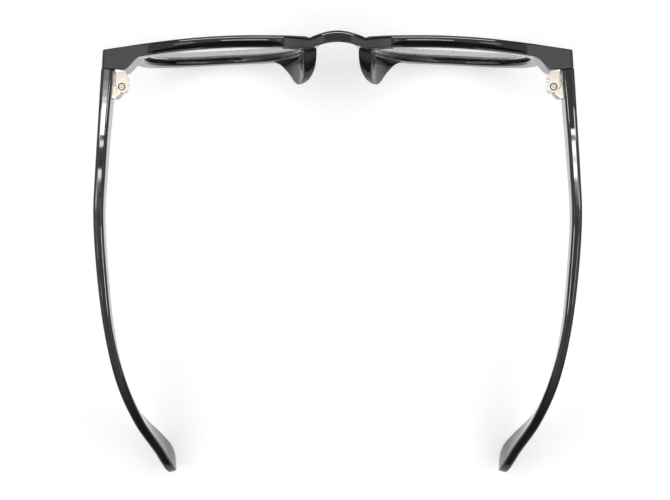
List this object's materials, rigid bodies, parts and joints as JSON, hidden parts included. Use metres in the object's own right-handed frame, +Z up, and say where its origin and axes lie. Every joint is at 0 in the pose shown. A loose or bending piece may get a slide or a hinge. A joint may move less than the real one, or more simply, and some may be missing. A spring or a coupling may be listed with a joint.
{
  "type": "eyeglasses",
  "caption": "Wellington-shaped black acetate spectacle frame with clear lenses, glued nose pads and folding temples on barrel hinges.",
  "frame": {"origin": "middle of the bounding box at ground level, with the spectacles standing open on both rims and both temple tips", "axes": "+X towards the wearer's left, +Y from the front back along the temples, +Z up"},
  "size_m": [0.152, 0.1402, 0.0457],
  "materials": {
    "acetate_black": "gloss",
    "lens_clear": "gloss",
    "hinge_gold": "satin",
    "screw_gold": "gloss",
    "core_metal": "satin"
  },
  "bodies": {
    "front": {"front_frame": "acetate_black", "nose_pad_left": "acetate_black", "nose_pad_right": "acetate_black", "lens_left": "lens_clear", "lens_right": "lens_clear", "front_hinge_left": "hinge_gold", "front_hinge_right": "hinge_gold", "hinge_screw_left": "screw_gold", "hinge_screw_right": "screw_gold"},
    "left_arm": {"temple_left": "acetate_black", "temple_core_left": "core_metal", "temple_hinge_left": "hinge_gold"},
    "right_arm": {"temple_right": "acetate_black", "temple_core_right": "core_metal", "temple_hinge_right": "hinge_gold"}
  },
  "joints": [
    {"name": "left_fold", "type": "hinge", "parent": "front", "child": "left_arm", "pos_m": [0.0669, -0.05246, 0.034], "axis": [0, 0, 1], "range_deg": [0, 86]},
    {"name": "right_fold", "type": "hinge", "parent": "front", "child": "right_arm", "pos_m": [-0.0669, -0.05246, 0.034], "axis": [0, 0, -1], "range_deg": [0, 80]}
  ]
}
